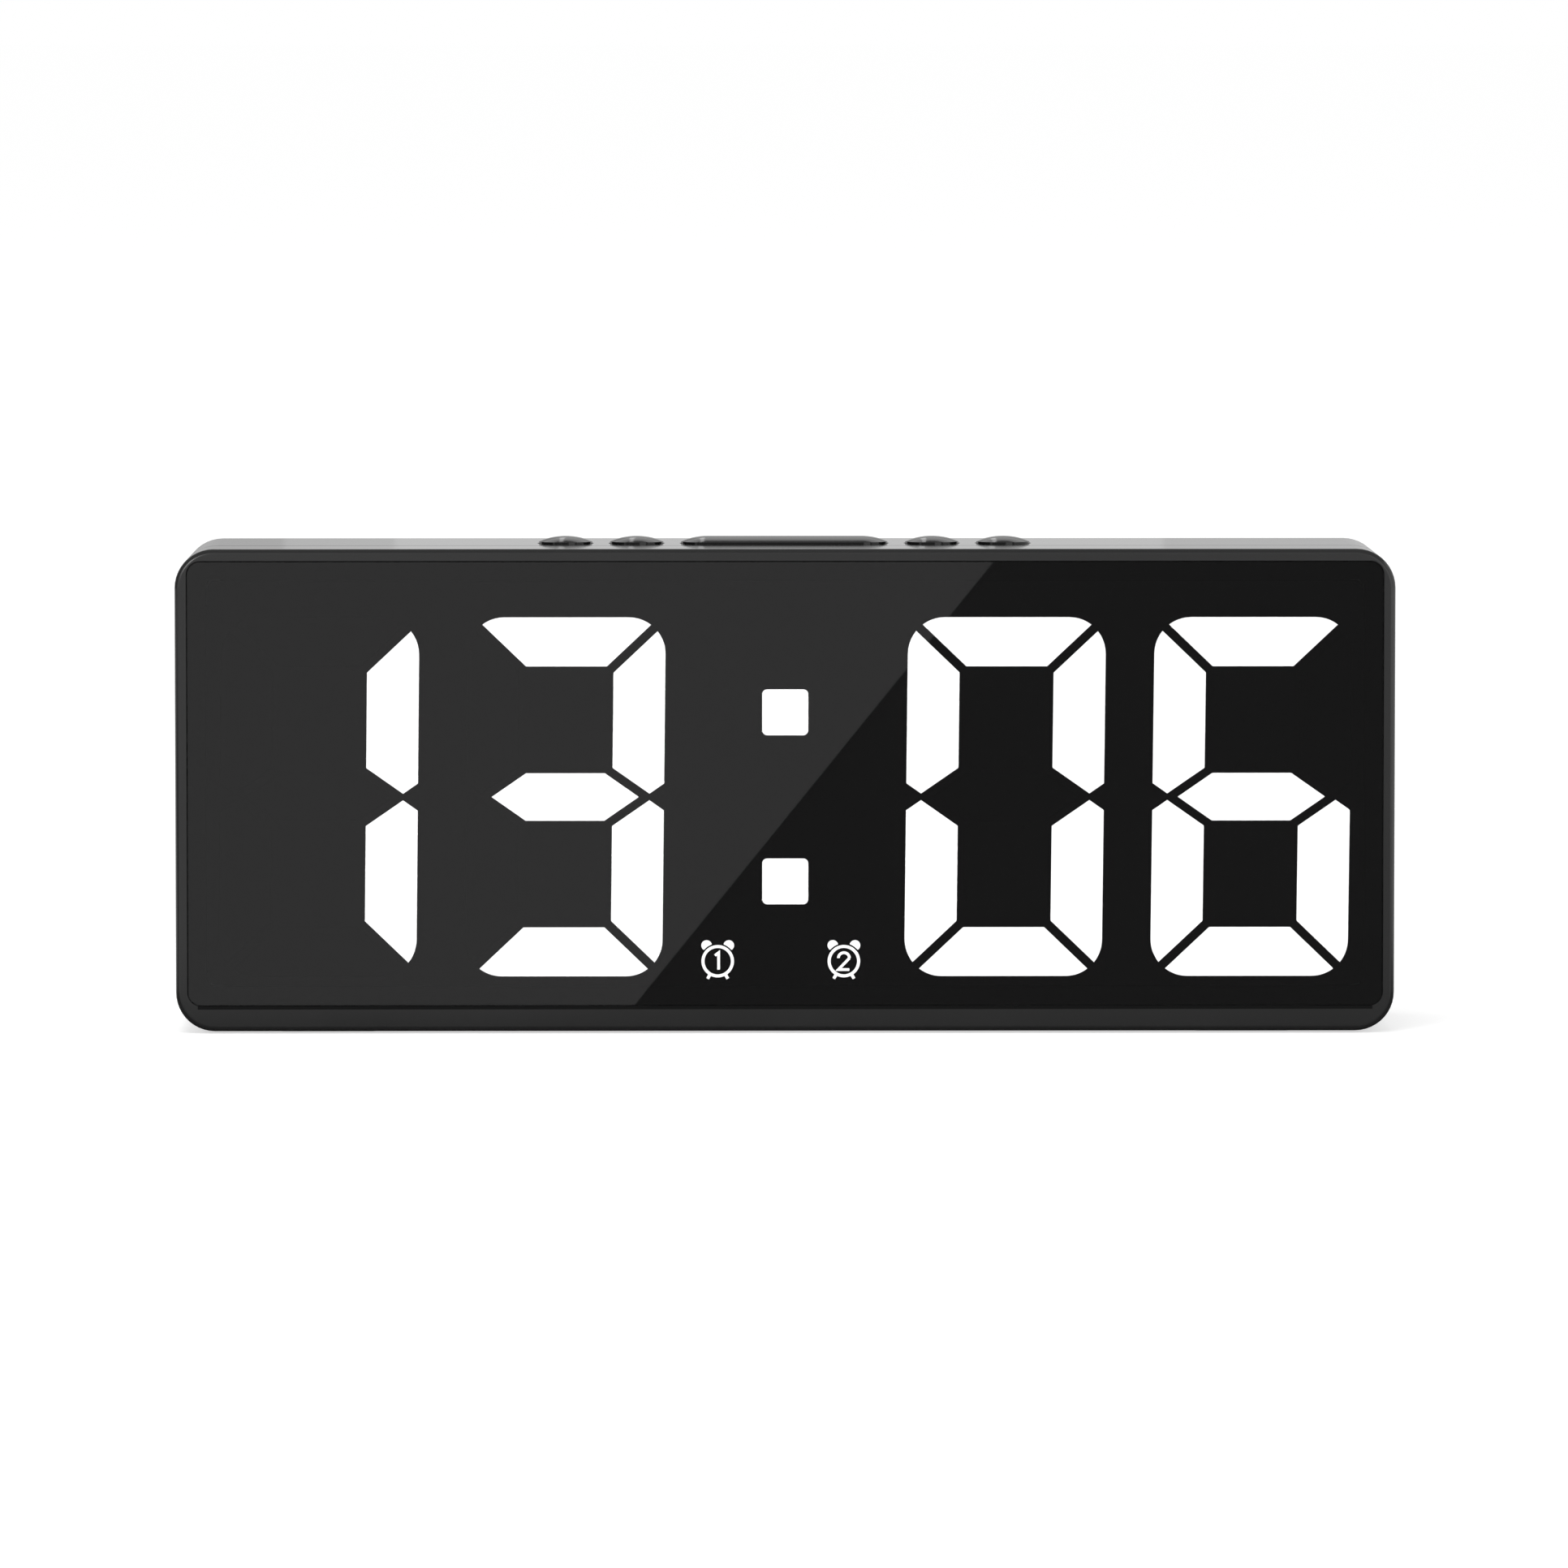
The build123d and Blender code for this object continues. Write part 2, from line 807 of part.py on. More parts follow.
def board_connectors():
    """The plugs on the back of the main board."""
    parts = []
    for x, z in connector_places().values():
        body = Pos(x, z) * Rectangle(connector_width, connector_tall)
        solid = slab(body, seam_y, seam_y + connector_deep)
        parts.append(chamfer(solid.faces().sort_by(Axis.Y)[-1].edges(), connector_tall / 12))
    return group(parts)


def bay_block(x_out, z_out):
    """The facing outline of the battery bay, grown by a wall."""
    width = bay_length + 2 * x_out
    return Pos(0, (bay_low_z + bay_high_z) / 2) * Rectangle(width, bay_height + 2 * z_out)


def button_outlines(grow):
    """The five keys as seen from above, grown by a clearance."""
    circle = Circle(button_radius + grow)
    xs = (-outer_button_x, -inner_button_x, inner_button_x, outer_button_x)
    outlines = [Pos(x, button_y) * circle for x in xs]
    bar = SlotOverall(snooze_length + 2 * grow, 2 * (button_radius + grow))
    return outlines + [Pos(0, button_y) * bar]


def key_post_axes():
    """Where the key board is screwed to the roof, as X and Y."""
    return [(side * key_post_x, button_y) for side in (-1, 1)]


def power_axes():
    """Where the power board is screwed to the back, as X and Z."""
    x = body_width / 2 - socket_inset
    z = bottom_z + socket_height_in_case
    return [(x + side * power_post_x, z) for side in (-1, 1)]


def tab_places():
    """The two bay terminals that carry the leads, as X and Z: minus first, then plus."""
    x = bay_half - plate_thick / 2
    return [(-x, cell_heights[0]), (x, cell_heights[2])]


def rear_shell():
    """The back moulding before anything is cut in it: walls, lip, posts, ribs and the bay's walls."""
    shell = slab(case_outline(0), seam_y, back_y)
    shell = fillet(shell.faces().sort_by(Axis.Y)[-1].edges(), back_round)
    shell = chamfer(shell.faces().sort_by(Axis.Y)[0].edges(), seam_bevel)
    shell -= slab(case_outline(wall), seam_y - overrun, inner_back_y)
    lip_outer = wall + lip_clearance
    lip = case_outline(lip_outer) - case_outline(lip_outer + lip_thick)
    root = case_outline(wall) - case_outline(lip_outer + lip_thick)
    tongue = slab(lip, seam_y - lip_reach, seam_y)
    for post in post_outline(post_radius + post_clearance, post_inset):
        tongue -= slab(post, seam_y - lip_reach - overrun, seam_y)
    shell += tongue + slab(root, seam_y, seam_y + lip_root)
    inside = slab(case_outline(wall / 2), seam_y, back_y - wall / 2)
    for post in post_outline(rear_post_radius, post_inset):
        shell += slab(post, seam_y, back_y) & inside
    shell += slab(bay_block(bay_wall, bay_wall), bay_front_y, back_y - wall / 2)
    for x, y in key_post_axes():
        shell += column(Pos(x, y) * Circle(key_post_radius), key_board_top_z, roof_z + wall / 2)
    for x, z in power_axes():
        shell += slab(spot(x, z, power_post_radius), socket_front_y(), inner_back_y)
    return shell + clamp_ribs()


def clamp_ribs():
    """Ribs from the roof and the floor that press the main board against the light box."""
    inset = wall + lip_clearance + lip_thick + board_clearance
    low = (bottom_z + wall / 2, bottom_z + inset + clamp_overlap)
    high = (top_z - inset - clamp_overlap, top_z - wall / 2)
    between = (inner_digit_x + outer_digit_x) / 2
    ribs = []
    for x in (-outer_digit_x, -between, between, outer_digit_x):
        for z_range in (low, high):
            ribs.append(block(around(x, clamp_width), (seam_y, seam_y + clamp_depth), z_range))
    return ribs


def rear_housing():
    """The back moulding with its roof holes, battery bay, screw wells and sockets."""
    shell = rear_shell()
    for outline in button_outlines(button_clearance):
        shell -= column(outline, roof_z - overrun, top_z + overrun)
    shell -= slab(bay_block(0, 0), bay_floor_y, back_y)
    rim = cover_rim + cover_clearance
    shell -= slab(bay_block(rim, rim), rim_y, back_y + overrun)
    finger = spot(0, cover_high_z + finger_rise - finger_radius, finger_radius)
    shell -= slab(finger, back_y - finger_depth, back_y + overrun)
    for side in (-1, 1):
        near = side * (cover_half + cover_clearance - overrun)
        far = side * (cover_half + hinge_pin_length + hinge_end_play)
        shell -= hinge_rod(min(near, far), max(near, far), hinge_pin_radius + hinge_clearance)
    for x, z in tab_places():
        slot = Pos(x, z) * Rectangle(plate_thick + 2 * tab_play, tab_width + 2 * tab_play)
        shell -= slab(slot, bay_front_y - overrun, bay_floor_y + overrun)
    for x, z in post_axes():
        well = case_screw_head_radius + case_screw_play
        shell -= slab(spot(x, z, well), seam_y + post_floor, back_y + overrun)
        hole = case_screw_radius + case_screw_play
        shell -= slab(spot(x, z, hole), seam_y - overrun, back_y)
    bore = small_screw_radius + screw_bore_play
    depth = small_screw_reach + screw_tip_room
    for x, y in key_post_axes():
        hole = Pos(x, y) * Circle(bore)
        shell -= column(hole, key_board_top_z - overrun, key_board_top_z + depth)
    for x, z in power_axes():
        front = socket_front_y()
        shell -= slab(spot(x, z, bore), front - overrun, front + depth)
    shell -= slab(socket_outline(socket_hole_play), inner_back_y - overrun, back_y + overrun)
    for x, z in sound_holes():
        shell -= slab(spot(x, z, sound_hole_radius), inner_back_y - overrun, back_y + overrun)
    for seat in pad_seats(back_y - pad_edge_inset):
        shell -= seat
    return shell


def sound_holes():
    """One hole in the middle and a ring of them about it, as X and Z."""
    x, z = buzzer_place()
    holes = [(x, z)]
    for i in range(sound_hole_count):
        angle = 2 * math.pi * i / sound_hole_count
        holes.append((x + sound_hole_ring * math.cos(angle), z + sound_hole_ring * math.sin(angle)))
    return holes


def buzzer_place():
    """Where the buzzer sits on the back wall, as X and Z."""
    return (buzzer_inset - body_width / 2, bottom_z + buzzer_height_in_case)


def buzzer():
    """The round buzzer, its port turned to the sound holes, with two pins at the front."""
    x, z = buzzer_place()
    front = inner_back_y - buzzer_height
    body = slab(spot(x, z, buzzer_radius), front, inner_back_y)
    body -= slab(spot(x, z, buzzer_port_radius), inner_back_y - buzzer_port_depth, back_y)
    for px, pz in buzzer_pins():
        body += slab(spot(px, pz, buzzer_pin_radius), front - buzzer_pin_length, front)
    return body


def buzzer_pins():
    """The buzzer's two pins, as X and Z."""
    x, z = buzzer_place()
    return [(x + side * buzzer_pin_pitch / 2, z) for side in (-1, 1)]


def hinge_rod(x_from, x_to, radius):
    """A round rod along the cover's hinge."""
    start = Plane(origin=(x_from, hinge_y, hinge_z), x_dir=(0, 1, 0), z_dir=(1, 0, 0))
    return extrude(start * Circle(radius), amount=x_to - x_from)


def battery_cover():
    """The door of the bay: round lower edge with a peg at each end, snap tongue and grip grooves."""
    plate = block((-cover_half, cover_half), (cover_y, back_y), (hinge_z, cover_high_z))
    plate += hinge_rod(-cover_half, cover_half, cover_thick / 2)
    reach = cover_half + hinge_pin_length
    plate += hinge_rod(-reach, reach, hinge_pin_radius)
    latch_top = bay_high_z - latch_clearance
    tongue = (cover_y - latch_reach, cover_y)
    plate += block(around(0, latch_width), tongue, (latch_top - latch_thick, latch_top))
    for i in range(grip_count):
        z = cover_high_z - grip_drop - i * grip_pitch
        groove = Pos(0, z) * SlotOverall(grip_length, grip_width)
        plate -= slab(groove, back_y - grip_depth, back_y + overrun)
    return plate


def cell_side(i):
    """+1 when the cell's plus end points to +X, and -1 otherwise."""
    return 1 if i % 2 == 0 else -1


def battery_cell(i):
    """One cell with its plus nub, lying along the bay."""
    side = cell_side(i)
    minus_x = -side * (bay_half - plate_thick - spring_length)
    body_length = cell_length - cell_nub_length
    axis = Plane(origin=(minus_x, cell_y, cell_heights[i]), x_dir=(0, 1, 0), z_dir=(side, 0, 0))
    body = extrude(axis * Circle(cell_diameter / 2), amount=body_length)
    body = fillet(body.edges().filter_by(GeomType.CIRCLE), cell_edge_round)
    nub = extrude(axis * Circle(cell_nub_radius), amount=cell_length)
    return body + nub


def tube(points, radius):
    """A round rod of straight runs joined by arcs that touch them."""
    bends = []
    for before, here, after in zip(points, points[1:], points[2:]):
        run_in = Vector(*here) - Vector(*before)
        run_out = Vector(*after) - Vector(*here)
        turn = math.radians(run_in.get_angle(run_out))
        shorter = min(run_in.length, run_out.length)
        bends.append(bend_share * shorter / math.tan(turn / 2))
    path = FilletPolyline(points, radius=bends)
    start = Plane(origin=path @ 0, z_dir=path % 0)
    return sweep(start * Circle(radius), path=path)


def conical_spring():
    """A spring along +X that narrows from its plate, at the origin, towards the cell."""
    near = spring_seat + spring_wire_radius
    length = spring_length - 2 * near
    count = round(spring_turns * spring_corners)
    points = []
    for i in range(count + 1):
        angle = 2 * math.pi * spring_turns * i / count
        radius = spring_base_radius - (spring_base_radius - spring_tip_radius) * i / count
        x = near + length * i / count
        points.append((x, radius * math.cos(angle), radius * math.sin(angle)))
    return tube(points, spring_wire_radius)


def battery_springs():
    """One conical spring at the minus end of each cell."""
    springs = []
    for i, z in enumerate(cell_heights):
        side = cell_side(i)
        turned = Rot(0, 0, 0 if side > 0 else 180) * conical_spring()
        springs.append(Pos(side * (plate_thick - bay_half), cell_y, z) * turned)
    return group(springs)


def end_plate(side, z_range):
    """A flat terminal on one end wall of the bay."""
    x = side * bay_half
    x_range = sorted((x, x - side * plate_thick))
    return block(x_range, around(cell_y, plate_side), z_range)


def battery_plates():
    """The terminals: one for each end of the pack, with a soldering tab, and two that link cells."""
    half = plate_side / 2
    z_top, z_mid, z_low = cell_heights
    minus, plus = tab_places()
    plates = [
        end_plate(-1, (z_top - half, z_top + half)) + solder_tab(minus, -1),
        end_plate(1, (z_mid - half, z_top + half)) + dimple(1, z_top),
        end_plate(-1, (z_low - half, z_mid + half)) + dimple(-1, z_mid),
        end_plate(1, (z_low - half, z_low + half)) + dimple(1, z_low) + solder_tab(plus, 1),
    ]
    return group(plates)


def dimple(side, z):
    """The boss that meets a cell's nub, as long as the play in the bay asks."""
    x = side * (bay_half - plate_thick)
    reach = dimple_height + bay_end_play
    plane = Plane(origin=(x, cell_y, z), x_dir=(0, 1, 0), z_dir=(-side, 0, 0))
    return extrude(plane * Circle(dimple_radius), amount=reach)


def solder_tab(place, side):
    """The tab that runs through the bay's floor to the leads."""
    x, z = place
    x_range = sorted((side * bay_half, side * (bay_half - plate_thick)))
    y_range = (bay_front_y - tab_reach, cell_y)
    return block(x_range, y_range, around(z, tab_width))


def dome(x_half):
    """The crowned top of a key about its own middle, x_half being half of its straight stretch."""
    sphere_radius = (button_radius**2 + button_crown**2) / (2 * button_crown)
    profile = Pos(0, rim_z + button_crown - sphere_radius) * Circle(sphere_radius)
    profile &= Pos(0, rim_z + button_crown / 2) * Rectangle(2 * button_radius, button_crown)
    right = profile & Pos(button_radius, rim_z) * Rectangle(2 * button_radius, 2 * sphere_radius)
    cap = revolve(Plane.XZ * right, axis=Axis.Z)
    if x_half == 0:
        return cap
    bar = extrude(Plane.YZ * profile, amount=x_half, both=True)
    return bar + Pos(x_half, 0, 0) * cap + Pos(-x_half, 0, 0) * cap


def key(x, length):
    """One key in place. The round ones are as long as they are wide."""
    straight = length / 2 - button_radius
    if straight > 0:
        cap_outline = SlotOverall(length, 2 * button_radius)
        flange_outline = SlotOverall(length + 2 * flange_rim, 2 * (button_radius + flange_rim))
    else:
        cap_outline = Circle(button_radius)
        flange_outline = Circle(button_radius + flange_rim)
    solid = column(cap_outline, flange_low_z, rim_z) + dome(straight)
    solid += column(flange_outline, flange_low_z, flange_top_z)
    solid += column(Circle(stem_radius), stem_low_z, flange_low_z)
    return Pos(x, button_y, 0) * solid


def switch_plunger(x):
    """The switch's own plunger, which the key rests on."""
    post = Pos(x, button_y) * Circle(plunger_radius)
    return column(post, switch_top_z - plunger_sunk, stem_low_z)


def key_switch(x):
    """One switch body with its metal cover and four pins, bored for its plunger."""
    y = button_y
    body = block(around(x, switch_side), around(y, switch_side), (key_board_top_z, switch_top_z))
    body = chamfer(body.edges().filter_by(Axis.Z), switch_side / 12)
    bore = Pos(x, y) * Circle(plunger_radius + plunger_clearance)
    return body - column(bore, switch_top_z - switch_bore_depth, switch_top_z + overrun)


def key_board():
    """The narrow board under the roof."""
    length = 2 * (key_post_x + key_board_end)
    outline = Pos(0, button_y) * RectangleRounded(length, key_board_width, key_board_thick)
    board = column(outline, key_board_low_z, key_board_top_z)
    for x, y in key_post_axes():
        hole = Pos(x, y) * Circle(small_screw_radius + case_screw_play)
        board -= column(hole, key_board_low_z - overrun, key_board_top_z + overrun)
    return board


def key_board_screws():
    """Two screws from below into the roof's posts."""
    upright = screw(
        0,
        0,
        small_screw_radius,
        small_screw_head_radius,
        small_screw_head_height,
        0,
        key_board_thick + small_screw_reach,
    )
    upright = Rot(90, 0, 0) * upright
    return group([Pos(x, y, key_board_low_z) * upright for x, y in key_post_axes()])


def key_ribbon():
    """The flat cable from the key board down to the main board's plug."""
    x, z = connector_places()["ribbon"]
    plug_y = seam_y + connector_deep
    points = [(button_y, key_board_low_z), (button_y, z), (plug_y, z)]
    path = FilletPolyline(points, radius=ribbon_bend)
    strip = trace(path, ribbon_thick)
    side = Plane(origin=(x, 0, 0), x_dir=(0, 1, 0), z_dir=(1, 0, 0))
    return extrude(side * strip, amount=ribbon_width / 2, both=True)


def socket_outline(grow):
    """The rounded mouth of the power socket in a facing sketch."""
    x = body_width / 2 - socket_inset
    z = bottom_z + socket_height_in_case
    return Pos(x, z) * SlotOverall(socket_width + 2 * grow, socket_tall + 2 * grow)


def socket_front_y():
    """The depth at which the power board's back face lies."""
    return back_y - socket_inset_from_back - socket_deep


def power_socket():
    """The upright socket: rolled shell, closed base and contact tongue."""
    base_y = socket_front_y()
    mouth_y = base_y + socket_deep
    shell = slab(socket_outline(0) - socket_outline(-socket_shell), base_y, mouth_y)
    base = slab(socket_outline(0), base_y, base_y + socket_back_thick)
    x = body_width / 2 - socket_inset
    z = bottom_z + socket_height_in_case
    tongue = Pos(x, z) * Rectangle(socket_tongue_width, socket_tongue_thick)
    return shell + base + slab(tongue, base_y, mouth_y - socket_back_thick)


def power_board():
    """The small board behind the power socket."""
    x = body_width / 2 - socket_inset
    z = bottom_z + socket_height_in_case
    outline = Pos(x, z) * Rectangle(power_board_width, power_board_height)
    back = socket_front_y()
    board = slab(outline, back - power_board_thick, back)
    for px, pz in power_axes():
        hole = spot(px, pz, small_screw_radius + case_screw_play)
        board -= slab(hole, back - power_board_thick - overrun, back + overrun)
    return board


def power_board_screws():
    """Two screws from the front into the posts of the back wall."""
    back = socket_front_y()
    size = (small_screw_radius, small_screw_head_radius, small_screw_head_height)
    head_y = back - power_board_thick
    return group([screw(x, z, *size, head_y, back + small_screw_reach) for x, z in power_axes()])


def plug_entry(name, i):
    """Where one of a plug's two leads goes in."""
    x, z = connector_places()[name]
    return (x + (i - 0.5) * lead_pitch, seam_y + connector_deep, z)


def short_lead(start, end):
    """A lead that leaves one thing to the front and enters a plug from behind."""
    y = (bay_front_y - lead_clear + seam_y + connector_deep) / 2
    points = [start, (start[0], y, start[2]), (end[0], y, end[2]), end]
    return tube(points, lead_radius)


def battery_leads():
    """The black and the red lead from the bay's two tabs to their plug."""
    leads = {}
    for i, (name, place) in enumerate(zip(("black", "red"), tab_places())):
        x, z = place
        start = (x, bay_front_y - tab_reach, z)
        leads[name] = short_lead(start, plug_entry("battery", i))
    return leads


def buzzer_leads():
    """Two leads from the buzzer's pins to their plug."""
    leads = []
    y = inner_back_y - buzzer_height - buzzer_pin_length
    for i, (x, z) in enumerate(buzzer_pins()):
        leads.append(short_lead((x, y, z), plug_entry("buzzer", i)))
    return group(leads)


def power_leads():
    """Two leads from the power board to their plug."""
    leads = []
    y = socket_front_y() - power_board_thick
    x = body_width / 2 - socket_inset
    z = bottom_z + socket_height_in_case
    for i in range(2):
        start = (x + (i - 0.5) * lead_pitch, y, z)
        leads.append(short_lead(start, plug_entry("power", i)))
    return group(leads)


def all_nodes():
    """Every sub-part by name."""
    nodes = {
        "front_housing": front_housing(),
        "rear_housing": rear_housing(),
        "front_panel": front_panel(),
        "panel_tape": panel_tape(),
        "display_mask": display_mask(),
        "light_box": light_box(),
        "segment_leds": segment_leds(),
        "main_board": main_board(),
        "display_screws": display_screws(),
        "clock_chip": clock_chip(),
        "timing_crystal": timing_crystal(),
        "board_capacitors": board_capacitors(),
        "board_resistors": board_resistors(),
        "board_connectors": board_connectors(),
        "key_board": key_board(),
        "key_board_screws": key_board_screws(),
        "key_ribbon": key_ribbon(),
        "battery_cover": battery_cover(),
        "battery_plates": battery_plates(),
        "battery_springs": battery_springs(),
        "buzzer": buzzer(),
        "buzzer_leads": buzzer_leads(),
        "power_board": power_board(),
        "power_board_screws": power_board_screws(),
        "power_leads": power_leads(),
        "power_socket": power_socket(),
        "case_screws": case_screws(),
        "foot_pads": foot_pads(),
        "colon_dots": group([diffuser(face) for face in colon_faces()]),
    }
    for name, (x, lit) in digit_places.items():
        dark = [letter for letter in "abcdefg" if letter not in lit]
        nodes[f"{name}_lit_segments"] = digit_diffusers(x, lit)
        nodes[f"{name}_dark_segments"] = digit_diffusers(x, dark)
    for i, channel in enumerate(alarm_channels()):
        nodes[f"alarm_{i + 1}_diffuser"] = diffuser(channel)
    for i in range(3):
        nodes[f"battery_cell_{i + 1}"] = battery_cell(i)
    for colour, solid in battery_leads().items():
        nodes[f"battery_lead_{colour}"] = solid
    keys = {
        "outer_left": (-outer_button_x, 2 * button_radius),
        "inner_left": (-inner_button_x, 2 * button_radius),
        "snooze": (0, snooze_length),
        "inner_right": (inner_button_x, 2 * button_radius),
        "outer_right": (outer_button_x, 2 * button_radius),
    }
    for name, (x, length) in keys.items():
        nodes[f"{name}_key"] = key(x, length)
        nodes[f"{name}_plunger"] = switch_plunger(x)
    nodes["key_switches"] = group([key_switch(x) for x, _ in keys.values()])
    return nodes


os.makedirs("parts", exist_ok=True)
for node_name, node_solid in all_nodes().items():
    export_step(node_solid, f"parts/{node_name}.step")
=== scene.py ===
"""Looks of the desk clock: materials, floor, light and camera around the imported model."""

import bpy
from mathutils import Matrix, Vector


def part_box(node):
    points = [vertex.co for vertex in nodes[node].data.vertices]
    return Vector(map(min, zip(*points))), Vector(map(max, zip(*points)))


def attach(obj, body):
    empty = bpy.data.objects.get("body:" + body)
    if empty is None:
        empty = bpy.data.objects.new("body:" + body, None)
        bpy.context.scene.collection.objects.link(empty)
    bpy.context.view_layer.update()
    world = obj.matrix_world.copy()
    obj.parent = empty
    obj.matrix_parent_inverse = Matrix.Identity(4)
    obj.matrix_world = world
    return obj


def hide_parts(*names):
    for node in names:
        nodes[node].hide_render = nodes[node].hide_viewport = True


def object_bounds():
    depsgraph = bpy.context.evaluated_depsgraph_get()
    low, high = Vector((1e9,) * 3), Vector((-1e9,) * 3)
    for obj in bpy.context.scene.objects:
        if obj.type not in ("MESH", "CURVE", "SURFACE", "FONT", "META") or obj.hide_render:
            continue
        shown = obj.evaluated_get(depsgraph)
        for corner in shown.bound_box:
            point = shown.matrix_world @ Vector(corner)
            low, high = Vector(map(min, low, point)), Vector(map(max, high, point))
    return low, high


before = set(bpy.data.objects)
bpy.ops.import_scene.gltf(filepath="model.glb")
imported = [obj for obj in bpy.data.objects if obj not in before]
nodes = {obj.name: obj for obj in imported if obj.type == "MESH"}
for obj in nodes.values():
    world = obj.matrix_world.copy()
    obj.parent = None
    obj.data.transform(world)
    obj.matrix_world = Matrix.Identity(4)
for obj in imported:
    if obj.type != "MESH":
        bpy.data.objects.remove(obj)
cad_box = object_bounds()

# Places in metres, in the model's own frame

front_y = cad_box[0].y
front_middle = Vector((0, front_y, sum(c.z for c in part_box("front_housing")) / 2))

# Camera: a long lens from a little above, which shows the front square on and a sliver of the top
FRAME_PIXELS = 1932
FRONT_PIXELS_PER_METRE = 9113
CAMERA_DISTANCE = 1.5
CAMERA_X = -0.013
CAMERA_Z = 0.1369
SENSOR = 36
FRONT_AIM = Vector((-0.00018, 0, 0.00088))  # from the middle of the front to the aim

# The line that divides the front's reflection, as X and Z on the front
DIVIDE_TOP = (0.02792, 0.06367)
DIVIDE_FOOT = (-0.02063, 0.00358)

# Finishes
PATCH = 0.02  # length of the patches over which a surface drifts
EDGE_WEAR = 0.5  # share of the roughness that is left on the sides and the rounded edges
FLAT_FACING = (0.9, 0.98)  # how far a face looks to the front or back where that wear ends
ROOF_FACING = (0.5, 0.95)  # how far a face looks up where the polish starts, and where it is full
PRINT_DEPTH = 0.00135  # how deep the print on the light box's face reaches
PRINT_FADE = 0.00002
WINDOW_MARGIN = Vector((0.0005, 0.0005, 0.0005))  # left round the light box and round its inserts
TAPE_RELIEF = 0.00003  # the gap between the tape and the panel

# Floor, world and lamps
FLOOR_GREY = 0.72
FLOOR_LIFT = 0.6
FLOOR_REACH = 60.0
WORLD_LIGHT = 0.55
LAMP_AIM = (0, 0, 0.03)


def put(tree, kind, inputs=None, **settings):
    """A new node with these settings, its inputs set to values or linked from outputs."""
    node = tree.nodes.new("ShaderNode" + kind)
    for name, value in settings.items():
        setattr(node, name, value)
    for name, value in (inputs or {}).items():
        if isinstance(value, bpy.types.NodeSocket):
            tree.links.new(value, node.inputs[name])
        else:
            node.inputs[name].default_value = value
    return node


def grey(level):
    """A neutral colour."""
    return (level, level, level, 1)


def blank(name):
    """A new material with its tree, its shader and its coordinates in metres."""
    material = bpy.data.materials.new(name)
    material.use_nodes = True
    tree = material.node_tree
    coords = put(tree, "TexCoord").outputs["Object"]
    return material, tree, tree.nodes["Principled BSDF"], coords


def noise(tree, coords, size, detail=2.0):
    """Noise whose features are about this long, in metres."""
    inputs = {"Vector": coords, "Scale": 1 / size, "Detail": detail}
    return put(tree, "TexNoise", inputs).outputs["Fac"]


def share_between(tree, value, start, end, least, most):
    """A value taken from one range to another, and held at its ends."""
    inputs = {"Value": value, "From Min": start, "From Max": end, "To Min": least, "To Max": most}
    return put(tree, "MapRange", inputs).outputs["Result"]


def spread(tree, value, least, most):
    """Noise, most of which lies between three and seven tenths, spread over a range."""
    return share_between(tree, value, 0.3, 0.7, least, most)


def blend(tree, factor, first, second):
    """A colour between two, by a factor."""
    node = put(tree, "Mix", data_type="RGBA")
    tree.links.new(factor, node.inputs[0])
    for slot, value in ((6, first), (7, second)):
        if isinstance(value, bpy.types.NodeSocket):
            tree.links.new(value, node.inputs[slot])
        else:
            node.inputs[slot].default_value = value
    return node.outputs[2]


def bumped(tree, shader, height, depth, strength=1.0):
    """Relief of this depth, in metres, on a shader."""
    inputs = {"Height": height, "Distance": depth, "Strength": strength}
    node = put(tree, "Bump", inputs)
    tree.links.new(node.outputs["Normal"], shader.inputs["Normal"])


def surface(name, dark, pale, roughness, grain=0.0004, depth=0.000004, polish=None, shine=0.5):
    """A material whose colour and roughness drift over patches, with a fine grain in relief.

    With polish, which is a share of the roughness, faces that look up are that much smoother, and
    the sides and the rounded edges are half worn smooth."""
    material, tree, shader, coords = blank(name)
    shader.inputs["Specular IOR Level"].default_value = shine
    drift = noise(tree, coords, PATCH, 3.0)
    tree.links.new(blend(tree, drift, dark, pale), shader.inputs["Base Color"])
    rough = spread(tree, drift, *roughness)
    if polish:
        normal = put(tree, "NewGeometry").outputs["Normal"]
        sides = put(tree, "SeparateXYZ", {0: normal}).outputs
        facing = put(tree, "Math", {0: sides["Y"]}, operation="ABSOLUTE").outputs[0]
        worn = share_between(tree, facing, *FLAT_FACING, EDGE_WEAR, 1.0)
        smooth = share_between(tree, sides["Z"], *ROOF_FACING, 1.0, polish / EDGE_WEAR)
        share = put(tree, "Math", {0: worn, 1: smooth}, operation="MULTIPLY").outputs[0]
        rough = put(tree, "Math", {0: rough, 1: share}, operation="MULTIPLY").outputs[0]
    tree.links.new(rough, shader.inputs["Roughness"])
    bumped(tree, shader, noise(tree, coords, grain), depth)
    return material


def panel_material():
    """Smoked clear acrylic with a hard polish."""
    material, tree, shader, coords = blank("smoked_acrylic")
    haze = noise(tree, coords, 0.03, 2.0)
    tree.links.new(blend(tree, haze, grey(0.116), grey(0.124)), shader.inputs["Base Color"])
    tree.links.new(spread(tree, haze, 0.0, 0.012), shader.inputs["Roughness"])
    shader.inputs["Transmission Weight"].default_value = 0.988
    shader.inputs["IOR"].default_value = 1.49
    return material


